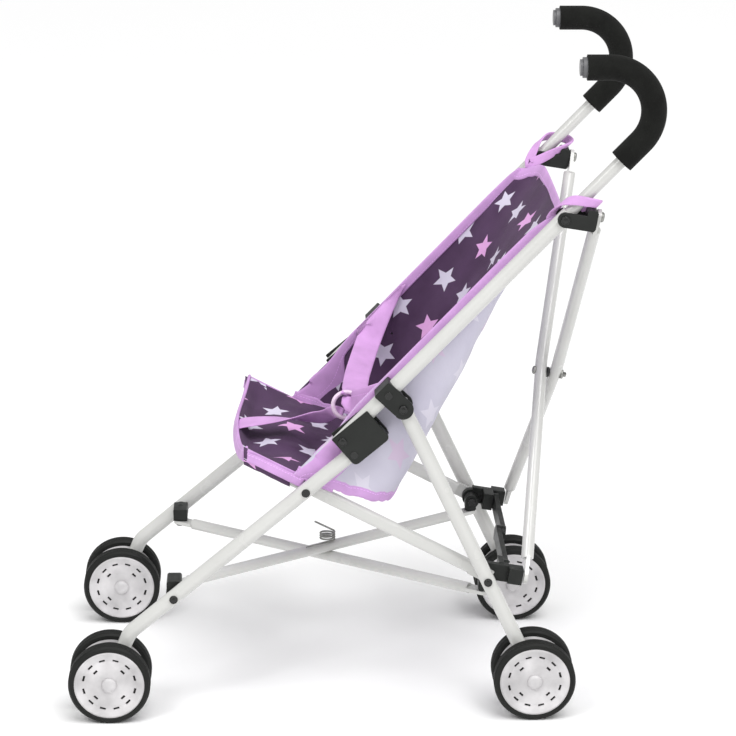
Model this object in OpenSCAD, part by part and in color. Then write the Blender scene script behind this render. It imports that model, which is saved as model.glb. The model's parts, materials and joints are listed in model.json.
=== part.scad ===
// Doll stroller with an umbrella fold. Millimetres, +Z up.
// The front faces -Y, the handles stand at +Y, and +X is the stroller's own left side.
// Both side frames lie in planes of constant X; the right one mirrors the left one.
// A direction in such a plane is an angle from +Y (0) towards +Z (90).

/* [Overall] */
// Half the distance between the two side frames, tube centre to tube centre
half_width = 110; // [105:1:120]
// Distance between front and rear axles
wheelbase = 342; // [336:1:348]

/* [Wheels] */
// Outer radius of a tyre
tyre_r = 33; // [32:0.5:34]
// Radius of the plastic hub disc
hub_r = 28.2; // [27:0.1:28.5]
// Width of one wheel of a twin pair
wheel_w = 13.2; // [12:0.1:13.5]
// Gap from the leg's centre plane to a wheel's inner face
wheel_gap = 7.6; // [7.5:0.1:8]
// Radius of an axle
axle_r = 2.5; // [2.2:0.1:2.7]

/* [Side frame] */
// Outer radius of pusher, front leg and rear leg tubes
tube_r = 6; // [5.8:0.05:6]
// Angle of the pusher tube
pusher_angle = 46.2; // [46:0.1:46.4]
// Angle of the front leg, measured on its upper end
front_leg_angle = 40.2; // [40:0.1:40.4]
// Angle of the rear leg from the floor
rear_leg_angle = 64.6; // [64.4:0.1:64.8]
// Length of the rear leg from its top pivot to the axle
rear_leg_len = 251; // [250:0.5:252]
// Distance from rear leg top pivot to the seat bar pivot on that leg
rear_leg_pivot = 161.9; // [161:0.1:163]
// Distance along the pusher from the knuckle pivot to the rear leg pivot
pivot_gap = 52.1; // [51:0.1:54]
// How far the rear leg pivot stands behind the pusher's axis
rear_offset = 16.1; // [16:0.1:17]
// How far the knuckle pivot stands in front of the front leg's axis
knuckle_offset = 14.4; // [14.2:0.1:15]
// Distance along the front leg from the knuckle to the seat bar bolt
seat_bar_bolt = 50; // [49:0.5:51]
// Distance along the front leg from the knuckle to the floor brace block
toe_pivot = 188.4; // [187:0.1:190]
// Distance along the front leg from the knuckle to its bend
leg_bend = 235; // [232:1:238]

/* [Handle] */
// Distance from the knuckle pivot to the start of the handle's bend
handle_len = 331; // [328:1:334]
// Radius of the handle's bend
bend_r = 34.3; // [33:0.1:36]
// Length of straight handle after the bend
nose_len = 18; // [16:1:20]
// Outer radius of the handle tube
handle_r = 4.8; // [4.5:0.1:4.8]
// Outer radius of the foam grip
grip_r = 10; // [9:0.1:10.5]

/* [Braces] */
// Distance along the pusher from the knuckle pivot to the top link
top_link_at = 248; // [246:0.5:250]
// Outer radius of a rear brace bar
back_bar_r = 5; // [4.6:0.1:5]
// Outer radius of a floor brace bar
floor_bar_r = 4.5; // [4:0.1:4.5]
// Height of the floor brace above the floor
floor_brace_z = 99; // [98:0.5:100]
// Half width of a flat seat bar, seen from the side
seat_bar_half = 5.5; // [5:0.1:5.5]

/* [Hidden] */
$fn = 64;

white = [0.88, 0.88, 0.86];
black = [0.13, 0.13, 0.13];
foam = [0.1, 0.1, 0.1];
plum = [0.28, 0.19, 0.31];
lilac = [0.80, 0.62, 0.85];
grey = [0.8, 0.8, 0.8];

// Fits: pin and bore radii, and the gap between parts that turn past each other
pin_r = 2;
bore_r = 2.05;
rivet_r = 1.6;
gap = 0.3;
wall = 1.2;
plate_t = 2.4;
lug_t = 3;
// Length of tube past a pivot at its end
stub = 5;
// Radius of the front leg's elbow
leg_elbow = 20;

// Unit vectors in a side plane, as [y, z]
function along(a) = [cos(a), sin(a)];
function behind(a) = [sin(a), -cos(a)];

// Side plane points measured from the rear axle, then moved so that the box is centred
rear_axle_0 = [0, tyre_r];
rear_top_0 = rear_axle_0 + rear_leg_len * [-cos(rear_leg_angle), sin(rear_leg_angle)];
knuckle_0 = rear_top_0 - pivot_gap * along(pusher_angle) - rear_offset * behind(pusher_angle);
bend_centre_0 = knuckle_0 + handle_len * along(pusher_angle) - bend_r * behind(pusher_angle);
middle_y = (bend_centre_0[0] + bend_r + grip_r - wheelbase - tyre_r) / 2;
shift = [-middle_y, 0];

rear_axle = rear_axle_0 + shift;
front_axle = rear_axle - [wheelbase, 0];
rear_top = rear_top_0 + shift;
knuckle_pin = knuckle_0 + shift;
bend_centre = bend_centre_0 + shift;
leg_foot = knuckle_pin + knuckle_offset * behind(front_leg_angle);
seat_pin = leg_foot - seat_bar_bolt * along(front_leg_angle);
toe_pin = leg_foot - toe_pivot * along(front_leg_angle);
leg_corner = leg_foot - leg_bend * along(front_leg_angle);
heel_pin = rear_top + rear_leg_pivot * [cos(rear_leg_angle), -sin(rear_leg_angle)];
top_pin = knuckle_pin + top_link_at * along(pusher_angle);
seat_bar_run = seat_pin - heel_pin;
seat_bar_angle = atan2(seat_bar_run[1], seat_bar_run[0]);

// Rear brace: its plane holds the X axis and runs up at brace_angle
top_bolt = top_pin + [26.9, 0.1];
low_bolt = heel_pin + [31.5, -1.9];
brace_run = top_bolt - low_bolt;
brace_angle = atan2(brace_run[1], brace_run[0]);
top_bolt_in = 3;
low_bolt_in = 13;
back_bow = back_bar_r + 1.2;
back_span = 2 * half_width - top_bolt_in - low_bolt_in;
back_tilt = atan2(back_span, norm(brace_run));
back_len = sqrt(back_span * back_span + brace_run * brace_run);

// Floor brace: a flat X at floor_brace_z
toe_bolt_in = 21;
heel_bolt_in = 24.5;
heel_bolt_back = -1;
floor_layer = floor_bar_r + 0.1;
floor_span = 2 * half_width - toe_bolt_in - heel_bolt_in;
floor_run = heel_pin[0] + heel_bolt_back - toe_pin[0];
floor_turn = atan2(floor_span, floor_run);
floor_len = sqrt(floor_span * floor_span + floor_run * floor_run);

// Lock arms between the two foot links
arm_in = 27;
arm_n = -13.5;
arm_t = 4;
arm_half = 6.5;
arm_len = half_width - arm_in;

// Seat cloth
cloth_t = 2;
cloth_in = 9.6;
seat_tip = knuckle_pin + 236 * along(pusher_angle) + 7 * behind(pusher_angle);
seat_crown = knuckle_pin + [143.5, 132.7];
seat_heel = knuckle_pin + [47, -57.8];
seat_hem = knuckle_pin + [11, -52.5];
seat_toe = knuckle_pin + [-16, -42];
base_front = knuckle_pin + [-90, -3];
base_rear = knuckle_pin + [38, -53.5];

strap_w = 21;
strap_t = 1.6;
ring_at = [53, knuckle_pin[0] + 5, knuckle_pin[1] + 10];
ring_r = 11;
wire_r = 0.8;

// ---- helpers ------------------------------------------------------------------------------

// Moves children to a point of the left side plane; local +Z then points along angle a,
// local +Y points behind it, and local X stays the row's X measured from the side plane
module at(p, a) { translate([half_width, p[0], p[1]]) rotate([a - 90, 0, 0]) children(); }

// A rod along X; d0 and d1 are distances inward from the side plane
module cross_rod(p, r, d0, d1) {
    translate([half_width - d1, p[0], p[1]]) rotate([0, 90, 0]) cylinder(r = r, h = d1 - d0);
}

// A plate with a side view outline, between distances d0 and d1 inward from the side plane
module side_plate(points, d0, d1) {
    translate([half_width - d1, 0, 0]) rotate([90, 0, 90]) linear_extrude(d1 - d0) polygon(points);
}

// A box in the local frame of at(): inward distance, behind distance, distance along
module block(d0, d1, y0, y1, z0, z1) {
    translate([-d1, y0, z0]) cube([d1 - d0, y1 - y0, z1 - z0]);
}

// A local rod along X through the local point [y, z]
module local_rod(y, z, r, d0, d1) {
    translate([-d1, y, z]) rotate([0, 90, 0]) cylinder(r = r, h = d1 - d0);
}

// A straight rod between two side plane points, in the side plane
module run(p, q, r) {
    v = q - p;
    at(p, atan2(v[1], v[0])) cylinder(r = r, h = norm(v));
}

module mirrored() { mirror([1, 0, 0]) children(); }

// A rivet through the side plane with a head at each end
module rivet(p, r, d0, d1, head_r, head_t) {
    cross_rod(p, r, d0, d1);
    cross_rod(p, head_r, d0 - head_t, d0);
    cross_rod(p, head_r, d1, d1 + head_t);
}

// ---- pusher: lower tube, handle, grip ----------------------------------------------------------

module lower_tube() {
    difference() {
        at(knuckle_pin, pusher_angle)
            translate([0, 0, -stub]) cylinder(r = tube_r, h = top_link_at + 2 * stub);
        at(knuckle_pin, pusher_angle)
            translate([0, 0, -stub - 1]) cylinder(r = handle_r, h = top_link_at + 2 * stub + 2);
        cross_rod(knuckle_pin, bore_r, -10, 10);
        cross_rod(bracket_rivet(), rivet_r, -10, 10);
        cross_rod(top_pin, pin_r, -10, 10);
    }
}

function bracket_rivet() = knuckle_pin + pivot_gap * along(pusher_angle);

// A bent stretch in the side plane, turning left from angle a through sweep degrees
module elbow(centre, bend, a, sweep, r) {
    translate([half_width, centre[0], centre[1]])
        rotate([90, 0, 90]) rotate([0, 0, a - 90])
        rotate_extrude(angle = sweep) translate([bend, 0]) circle(r = r);
}

// Handle tube: straight, bend and nose, as one run of radius r
module handle_path(r, start) {
    at(knuckle_pin, pusher_angle) translate([0, 0, start]) cylinder(r = r, h = handle_len - start);
    elbow(bend_centre, bend_r, pusher_angle, 180 - pusher_angle, r);
    translate([half_width, bend_centre[0] - nose_len, bend_centre[1] + bend_r])
        rotate([-90, 0, 0]) cylinder(r = r, h = nose_len);
}

module handle_tube() {
    difference() {
        handle_path(handle_r, 205);
        handle_path(handle_r - wall, 204);
        cross_rod(top_pin, pin_r, -10, 10);
    }
}

module grip() {
    difference() {
        handle_path(grip_r, 310);
        handle_path(handle_r, 300);
    }
}

module end_plug() {
    nose = [bend_centre[0] - nose_len, bend_centre[1] + bend_r];
    translate([half_width, nose[0], nose[1]]) rotate([90, 0, 0]) {
        cylinder(r = 8, h = 3.5);
        translate([0, 0, 3.5]) cylinder(r = 6.4, h = 2);
    }
}

// ---- brackets on the side frame ---------------------------------------------------------------

// Wraps the pusher and holds the rear leg's top pivot behind it
module upper_bracket() {
    half = 8.2;
    inner = tube_r + gap;
    outer = inner + plate_t;
    front = -7.8;
    difference() {
        at(bracket_rivet(), pusher_angle) {
            block(-outer, outer, front, tube_r + 1.4, -half, half);
            block(-outer, -inner, 0, rear_offset, -half, half);
            block(inner, outer, 0, rear_offset, -half, half);
            local_rod(rear_offset, 0, half, -outer, -inner);
            local_rod(rear_offset, 0, half, inner, outer);
        }
        at(bracket_rivet(), pusher_angle) translate([0, 0, -20]) cylinder(r = tube_r, h = 40);
        cross_rod(bracket_rivet(), rivet_r, -12, 12);
        cross_rod(rear_top, pin_r, -12, 12);
    }
}

module upper_pins() {
    outer = tube_r + gap + plate_t;
    rivet(rear_top, pin_r, -outer, outer, 3.6, 0.9);
    rivet(bracket_rivet(), rivet_r, -outer, outer, 3.2, 0.5);
    rivet(top_pin, pin_r, -outer - 0.1, outer + 0.1, 3.6, 0.5);
}

// Knuckle: fixed on the front leg's top, with an open channel for the pusher
module knuckle() {
    inner = tube_r + gap;
    outer = inner + plate_t;
    low = -5.5;
    high = 31;
    difference() {
        at(leg_foot, front_leg_angle) {
            block(-outer, -inner, -21.4, 0, low, high);
            block(inner, outer, -21.4, 0, low, high);
            block(-outer, outer, -5, 7.8, low, high);
        }
        at(leg_foot, front_leg_angle) translate([0, 0, -30]) cylinder(r = tube_r, h = 80);
        cross_rod(knuckle_pin, pin_r, -12, 12);
        cross_rod(leg_foot, rivet_r, -12, 12);
    }
}

// ---- legs -------------------------------------------------------------------------------------

// Front leg: straight, a short elbow, then down to the axle; hollow above the elbow
module front_leg() {
    top = 28;
    into = 0.5;
    a = 180 + front_leg_angle;
    v = front_axle - leg_corner;
    low_a = 360 + atan2(v[1], v[0]);
    cut = leg_elbow * tan((low_a - a) / 2);
    start = leg_corner - cut * along(a);
    end = leg_corner + cut * along(low_a);
    difference() {
        union() {
            run(leg_foot + top * along(front_leg_angle), start + into * along(a), tube_r);
            elbow(start - leg_elbow * behind(a), leg_elbow, a, low_a - a, tube_r + 0.06);
            run(end - into * along(low_a), front_axle + stub * along(low_a), tube_r);
        }
        run(leg_foot + (top + 1) * along(front_leg_angle), start - 2 * along(a), tube_r - wall);
        cross_rod(leg_foot, rivet_r, -10, 10);
        cross_rod(seat_pin, rivet_r, -10, 10);
        cross_rod(toe_pin, pin_r, -10, 10);
        cross_rod(front_axle, axle_r, -10, 10);
    }
}

// One axle with a push nut at each end, outside the wheels
module axle(p) {
    reach = wheel_gap + wheel_w + 0.2;
    rivet(p, axle_r, -reach, reach, 4.4, 1.3);
}

module front_pins() {
    outer = tube_r + gap + plate_t;
    rivet(knuckle_pin, pin_r, -outer, outer, 3.6, 0.4);
    rivet(leg_foot, rivet_r, -outer, outer, 3.2, 0.4);
    rivet(seat_pin, rivet_r, -tube_r, tube_r, 3.4, 1);
    cross_rod(toe_pin, pin_r, -tube_r, 15.2);
    cross_rod(toe_pin, 3.4, -tube_r - 1, -tube_r);
    axle(front_axle);
}

module rear_leg() {
    difference() {
        at(rear_top, -rear_leg_angle)
            translate([0, 0, -stub]) cylinder(r = tube_r, h = rear_leg_len + 2 * stub);
        at(rear_top, -rear_leg_angle)
            translate([0, 0, -stub - 1]) cylinder(r = tube_r - wall, h = rear_leg_len + 2 * stub + 2);
        cross_rod(rear_top, bore_r, -10, 10);
        cross_rod(heel_pin, pin_r, -10, 10);
        cross_rod(rear_axle, axle_r, -10, 10);
    }
}

module rear_pins() {
    cross_rod(heel_pin, pin_r, -tube_r, 30.8);
    cross_rod(heel_pin, 3.4, -tube_r - 1, -tube_r);
    cross_rod(heel_pin, 3.4, 30.8, 32);
    axle(rear_axle);
}

// ---- seat bar -----------------------------------------------------------------------------------

seat_bar_in = 9.2;
seat_bar_t = 7;
seat_bar_nose = 50;

// Flat oval tube from the rear leg past the front leg, under the front of the seat
module seat_bar() {
    mid = seat_bar_in + seat_bar_t / 2;
    flat = seat_bar_half - seat_bar_t / 2;
    start = 14;
    len = norm(seat_bar_run) + seat_bar_nose;
    difference() {
        at(heel_pin, seat_bar_angle) {
            translate([-mid, 0, start]) linear_extrude(len - start) {
                square([seat_bar_t, 2 * flat], center = true);
                for (s = [-1, 1]) translate([0, s * flat]) circle(r = seat_bar_t / 2);
            }
            block(seat_bar_in, seat_bar_in + lug_t, -seat_bar_half, seat_bar_half, -4, start + 1);
        }
        cross_rod(heel_pin, bore_r, 5, 20);
    }
}

// ---- rear brace -----------------------------------------------------------------------------------

// Local frame of the rear brace at a bolt: local Z is the brace's rearward normal
module at_brace(p) { at(p, brace_angle - 90) children(); }
function in_brace(v) = [v * behind(brace_angle - 90), v * along(brace_angle - 90)];

// Where the lugs of the brace bars rest on the links, on the brace normal from a bolt
brace_face = -lug_t / 2 - gap;

// Fork on the pusher, with a block and a bolt behind it for a brace bar
module top_link() {
    inner = tube_r + gap;
    outer = inner + plate_t;
    bolt = in_brace(top_bolt - top_pin);
    web = 16;
    eye = 6;
    difference() {
        at_brace(top_pin) {
            for (s = [-1, 1]) {
                d = s * (inner + outer) / 2;
                block(d - plate_t / 2, d + plate_t / 2, -eye, eye, 0, web + 1);
                local_rod(0, 0, eye, d - plate_t / 2, d + plate_t / 2);
            }
            block(-outer, outer, bolt[0] - 6.5, eye, web, bolt[1] + brace_face);
        }
        cross_rod(top_pin, bore_r, -12, 12);
    }
    at_brace(top_pin) translate([-top_bolt_in, bolt[0], bolt[1] + brace_face - 1]) {
        cylinder(r = pin_r, h = lug_t + 2 + gap);
        translate([0, 0, lug_t + 1 + 2 * gap]) cylinder(r = 3.8, h = 1.4);
    }
}

// Plastic link behind the rear leg that carries the rear brace's lower end and a lock arm.
// The brace's lug keeps drift clear of its face, for it rocks a little while it folds
module foot_link(arm_face) {
    drift = 0.8;
    bolt = in_brace(low_bolt - heel_pin);
    eye = 7.5;
    eye_in = 12.7;
    eye_out = 18.9;
    difference() {
        at_brace(heel_pin) {
            local_rod(0, 0, eye, eye_in, eye_out);
            block(eye_in, eye_out, bolt[0] - 6.5, 4, 0, 20);
            block(7, eye_out, bolt[0] - 6.5, bolt[0] + 6.5, 17, bolt[1] + brace_face - drift);
            block(eye_out - 1, arm_in + 7, bolt[0] - 7, bolt[0] + 7, 9, bolt[1] + arm_face);
        }
        cross_rod(heel_pin, bore_r, 5, 25);
    }
    at_brace(heel_pin) translate([-arm_in, bolt[0], bolt[1] + arm_face - 1])
        cylinder(r = pin_r, h = arm_t + gap + 1);
}

// One bar of the rear brace, drawn from its top bolt on the left to the far side's foot.
// Its round tube is bent by bow at the middle, so that the two bars pass, and its ends are flat lugs
module back_bar(bow) {
    flat = 15;
    half = back_len / 2;
    lean = atan2(bow, half - flat);
    reach = norm([bow, half - flat]);
    translate([half_width - top_bolt_in, top_bolt[0], top_bolt[1]])
        rotate([brace_angle - 90, 0, 0]) rotate([0, back_tilt + 180, 0]) difference() {
            union() {
                for (z = [0, back_len]) translate([0, 0, z])
                    rotate([90, 0, 0]) cylinder(r = back_bar_r + 1, h = lug_t, center = true);
                translate([-back_bar_r - 1, -lug_t / 2, 0]) cube([2 * back_bar_r + 2, lug_t, flat + 1]);
                translate([-back_bar_r - 1, -lug_t / 2, back_len - flat - 1])
                    cube([2 * back_bar_r + 2, lug_t, flat + 1]);
                translate([0, 0, flat]) rotate([-lean, 0, 0]) cylinder(r = back_bar_r, h = reach);
                translate([0, 0, back_len - flat]) rotate([180 + lean, 0, 0])
                    cylinder(r = back_bar_r, h = reach);
                translate([0, bow, half]) sphere(r = back_bar_r + 0.06);
            }
            rotate([90, 0, 0]) cylinder(r = bore_r, h = 10, center = true);
        }
}

// Lock arm from the foot link to the middle of the stroller, a lap joint at its inner end
module lock_arm(n) {
    bolt = in_brace(low_bolt - heel_pin);
    at_brace(heel_pin) translate([-arm_in, bolt[0], bolt[1] + n]) difference() {
        union() {
            cylinder(r = arm_half, h = arm_t);
            translate([-arm_len, -arm_half + 1, 0]) cube([arm_len, 2 * arm_half - 2, arm_t]);
            translate([-arm_len, 0, 0]) cylinder(r = arm_half, h = arm_t);
        }
        translate([0, 0, -1]) cylinder(r = bore_r, h = arm_t + 2);
    }
}

// ---- floor brace ---------------------------------------------------------------------------------

// Block inside the rear leg with the seat of a floor bar's rear end; face is its lower face
module heel_block(face) {
    d0 = 19.6;
    d1 = 30.4;
    difference() {
        union() {
            cross_rod(heel_pin, 5.8, d0, d1);
            translate([half_width - d1, heel_pin[0] + heel_bolt_back - 4.8, face])
                cube([d1 - d0, 9.6, heel_pin[1] - face]);
        }
        cross_rod(heel_pin, bore_r, d0 - 5, d1 + 5);
    }
}

// Block inside the front leg with the upright pin of a floor bar
module toe_block(face) {
    inner = tube_r + 0.4;
    eye_out = 14.4;
    top = max(face + 6, toe_pin[1] + 6);
    low = min(face, toe_pin[1] - 6.5);
    difference() {
        union() {
            cross_rod(toe_pin, 6.5, inner, eye_out);
            translate([half_width - eye_out, toe_pin[0] - 6, low])
                cube([eye_out - inner, 12, top - low]);
            translate([half_width - toe_bolt_in - 6, toe_pin[0] - 6, face])
                cube([toe_bolt_in + 6 - inner, 12, top - face]);
        }
        cross_rod(toe_pin, bore_r, 0, 16);
    }
    translate([half_width - toe_bolt_in, toe_pin[0], face - lug_t - 2 * gap - 1.4]) {
        cylinder(r = pin_r, h = lug_t + 2 * gap + 2.4);
        cylinder(r = 3.6, h = 1.4);
    }
}

// One bar of the floor brace, drawn from the left toe block to the far heel block
module floor_bar(z) {
    flat = 14;
    translate([half_width - toe_bolt_in, toe_pin[0], z]) rotate([0, 0, floor_turn]) {
        difference() {
            union() {
                for (y = [0, floor_len]) translate([0, y, 0])
                    cylinder(r = floor_bar_r + 1, h = lug_t, center = true);
                for (y = [flat / 2, floor_len - flat / 2]) translate([0, y, 0])
                    cube([2 * floor_bar_r + 2, flat + 1, lug_t], center = true);
                translate([0, flat, 0]) rotate([-90, 0, 0])
                    cylinder(r = floor_bar_r, h = floor_len - 2 * flat);
            }
            cylinder(r = bore_r, h = 10, center = true);
        }
    }
}

// Centre line of the torsion spring: a leg, the coil, and the other leg
coil_r = 6;
coil_turns = 3.25;
coil_pitch = 2.1;
coil_leg = 26;
coil_sides = 8;
function coil_point(t) = [coil_r * cos(t), coil_r * sin(t), coil_pitch * t / 360];
coil_end = 360 * coil_turns;
spring_path = concat(
    [coil_point(0) + [0, -coil_leg, 0]],
    [for (t = [0 : 18 : coil_end]) coil_point(t)],
    [coil_point(coil_end) + coil_leg * [-sin(coil_end), cos(coil_end), 0]]
);

function unit(v) = v / norm(v);
function tangent(path, i) =
    unit(path[min(i + 1, len(path) - 1)] - path[max(i - 1, 0)]);
function wire_ring(p, t) = let (n = unit(cross(t, [0, 0, 1])), b = cross(n, t))
    [for (k = [0 : coil_sides - 1]) let (a = 360 * k / coil_sides) p + wire_r * (cos(a) * n + sin(a) * b)];

// Torsion spring on top of the crossing of the floor brace
module spring() {
    path = spring_path;
    n = len(path);
    m = coil_sides;
    points = [for (i = [0 : n - 1]) each wire_ring(path[i], tangent(path, i))];
    sides = [for (i = [0 : n - 2], k = [0 : m - 1])
        [i * m + k, i * m + (k + 1) % m, (i + 1) * m + (k + 1) % m, (i + 1) * m + k]];
    first = [for (k = [m - 1 : -1 : 0]) k];
    last = [for (k = [0 : m - 1]) (n - 1) * m + k];
    cross_y = (toe_pin[0] + heel_pin[0] + heel_bolt_back) / 2;
    base = floor_brace_z + floor_layer + floor_bar_r + wire_r + gap;
    color("silver") translate([0, cross_y, base]) rotate([0, 0, floor_turn])
        polyhedron(points, concat([first], sides, [last]), convexity = 6);
}

// ---- wheels ---------------------------------------------------------------------------------------

// Both wheel parts are drawn round X at the origin, outer face at -X and inner face at +X.
// They stay a wheel_gap away from the leg's plane after wheel_at()
module tyre() {
    groove = 0.7;
    half = wheel_w / 2;
    color(black) rotate([0, 90, 0]) rotate_extrude() difference() {
        polygon([
            [hub_r, -half + 0.6], [hub_r + 1, -half], [tyre_r - 1.6, -half + 0.2],
            [tyre_r, -half + 2.2], [tyre_r, half - 2.2], [tyre_r - 1.6, half - 0.2],
            [hub_r + 1, half], [hub_r, half - 0.6]
        ]);
        for (x = [-3, -1, 1, 3]) translate([tyre_r - groove, x * 1.25 - 0.4]) square([groove + 1, 0.8]);
    }
}

// Dished disc with a rim lip, a boss, two rings of slots and a shallow hollow back
module hub() {
    half = wheel_w / 2;
    back = half - 6;
    color(grey) difference() {
        rotate([0, 90, 0]) rotate_extrude() polygon([
            [bore_r + 0.5, -half], [5.5, -half], [5.5, -half + 1], [21, -half + 2.2],
            [24.5, -half + 0.9], [hub_r - 1.2, -half], [hub_r, -half + 0.6],
            [hub_r, half - 0.6], [hub_r - 2, half], [hub_r - 2, back],
            [7.5, back], [5.5, half], [bore_r + 0.5, half]
        ]);
        for (i = [0 : 11]) rotate([30 * i + 15, 0, 0]) translate([-half - 1, -2.4, 20.2])
            cube([9, 4.8, 1.7]);
        for (i = [0 : 3]) rotate([90 * i + 45, 0, 0]) translate([-half - 1, -2, 14.4])
            cube([9, 4, 1.8]);
    }
}

// Places a wheel part on an axle: side is +1 for left, out is +1 for the outer wheel
module wheel_at(p, side, out) {
    x = side * (half_width + out * (wheel_gap + wheel_w / 2));
    translate([x, p[0], p[1]]) scale([-side * out, 1, 1]) children();
}

// ---- seat, straps -----------------------------------------------------------------------------------

// Seat back and side walls: a trough between the two pushers
module seat_back() {
    lift = -8 * behind(pusher_angle);
    inner_heel = seat_heel + [-3, 2];
    inner_crown = seat_crown + [-3, 0.5];
    top = knuckle_pin + 240 * along(pusher_angle);
    side = [
        knuckle_pin + lift, top - 7 * behind(pusher_angle), seat_tip, seat_crown, seat_heel,
        seat_hem, seat_toe, leg_foot - 22 * along(front_leg_angle) - 7 * behind(front_leg_angle)
    ];
    color(plum) {
        side_plate(side, cloth_in, cloth_in + cloth_t);
        mirrored() side_plate(side, cloth_in, cloth_in + cloth_t);
        side_plate([seat_tip, seat_crown, seat_heel, inner_heel, inner_crown, seat_tip + [-2.4, 1]],
            cloth_in, 2 * half_width - cloth_in);
    }
}

module seat_base() {
    d = cloth_in + cloth_t + gap;
    drop = [0, -cloth_t];
    color(plum) side_plate([base_front, base_rear, base_rear + drop, base_front + drop],
        d, 2 * half_width - d);
}

// A flat strap between two points, its width along the pusher's direction
module strap_piece(p, q) {
    hull() for (c = [p, q]) translate(c) rotate([pusher_angle - 90, 0, 0])
        cube([0.8, strap_t, strap_w], center = true);
}

module lap_strap() {
    reach = half_width - cloth_in - cloth_t - 1.5;
    far = [-reach, knuckle_pin[0] + 38, knuckle_pin[1] + 54];
    near = [reach, knuckle_pin[0] + 30, knuckle_pin[1] + 20];
    color(lilac) {
        strap_piece(far, ring_at - [13, -4, -4]);
        strap_piece(ring_at + [13, 6, 2], near);
    }
}

module ring() {
    color(lilac) translate(ring_at) rotate([0, 90, 0])
        rotate_extrude() translate([ring_r, 0]) circle(r = 1.8, $fn = 24);
}

module crotch_strap() {
    start = [ring_at[0] - 14, ring_at[1] - 16, ring_at[2] - 25];
    middle = [0, knuckle_pin[0] - 44, knuckle_pin[1] - 19];
    end = [-4, base_front[0] + 4, base_front[1] + 2];
    color(lilac) for (s = [[start, middle], [middle, end]]) hull() for (c = s)
        translate(c) cube([strap_w * 0.8, 0.8, strap_t], center = true);
}

// ---- nodes ----------------------------------------------------------------------------------------

upper_face = floor_brace_z + floor_layer + lug_t / 2 + gap;
lower_face = floor_brace_z - floor_layer + lug_t / 2 + gap;
left_arm_n = arm_n - arm_t - 0.15;
right_arm_n = arm_n + 0.15;

color(white) lower_tube();  // lower_tube_left
color(white) mirrored() lower_tube();  // lower_tube_right
color(white) handle_tube();  // handle_tube_left
color(white) mirrored() handle_tube();  // handle_tube_right
color(foam) grip();  // grip_left
color(foam) mirrored() grip();  // grip_right
color(black) end_plug();  // end_plug_left
color(black) mirrored() end_plug();  // end_plug_right
color(black) upper_bracket();  // upper_bracket_left
color(black) mirrored() upper_bracket();  // upper_bracket_right
color(black) upper_pins();  // upper_pins_left
color(black) mirrored() upper_pins();  // upper_pins_right
color(black) knuckle();  // knuckle_left
color(black) mirrored() knuckle();  // knuckle_right
color(white) front_leg();  // front_leg_left
color(white) mirrored() front_leg();  // front_leg_right
color(black) front_pins();  // front_pins_left
color(black) mirrored() front_pins();  // front_pins_right
color(white) rear_leg();  // rear_leg_left
color(white) mirrored() rear_leg();  // rear_leg_right
color(black) rear_pins();  // rear_pins_left
color(black) mirrored() rear_pins();  // rear_pins_right
color(white) seat_bar();  // seat_bar_left
color(white) mirrored() seat_bar();  // seat_bar_right
color(black) top_link();  // top_link_left
color(black) mirrored() top_link();  // top_link_right
color(white) back_bar(back_bow);  // back_bar_left
color(white) mirrored() back_bar(-back_bow);  // back_bar_right
color(black) foot_link(left_arm_n - gap);  // foot_link_left
color(black) mirrored() foot_link(right_arm_n - gap);  // foot_link_right
color(black) lock_arm(left_arm_n);  // lock_arm_left
color(black) mirrored() lock_arm(right_arm_n);  // lock_arm_right
color(black) heel_block(lower_face);  // heel_block_left
color(black) mirrored() heel_block(upper_face);  // heel_block_right
color(black) toe_block(upper_face);  // toe_block_left
color(black) mirrored() toe_block(lower_face);  // toe_block_right
color(white) floor_bar(floor_brace_z + floor_layer);  // floor_bar_left
color(white) mirrored() floor_bar(floor_brace_z - floor_layer);  // floor_bar_right
spring();
seat_back();
seat_base();
lap_strap();
crotch_strap();
ring();
wheel_at(front_axle, 1, 1) tyre();  // tyre_front_left_outer
wheel_at(front_axle, 1, -1) tyre();  // tyre_front_left_inner
wheel_at(front_axle, -1, -1) tyre();  // tyre_front_right_inner
wheel_at(front_axle, -1, 1) tyre();  // tyre_front_right_outer
wheel_at(rear_axle, 1, 1) tyre();  // tyre_rear_left_outer
wheel_at(rear_axle, 1, -1) tyre();  // tyre_rear_left_inner
wheel_at(rear_axle, -1, -1) tyre();  // tyre_rear_right_inner
wheel_at(rear_axle, -1, 1) tyre();  // tyre_rear_right_outer
wheel_at(front_axle, 1, 1) hub();  // hub_front_left_outer
wheel_at(front_axle, 1, -1) hub();  // hub_front_left_inner
wheel_at(front_axle, -1, -1) hub();  // hub_front_right_inner
wheel_at(front_axle, -1, 1) hub();  // hub_front_right_outer
wheel_at(rear_axle, 1, 1) hub();  // hub_rear_left_outer
wheel_at(rear_axle, 1, -1) hub();  // hub_rear_left_inner
wheel_at(rear_axle, -1, -1) hub();  // hub_rear_right_inner
wheel_at(rear_axle, -1, 1) hub();  // hub_rear_right_outer
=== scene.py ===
import json
import math

import bmesh
import bpy
import numpy as np
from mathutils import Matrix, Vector, noise


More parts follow.
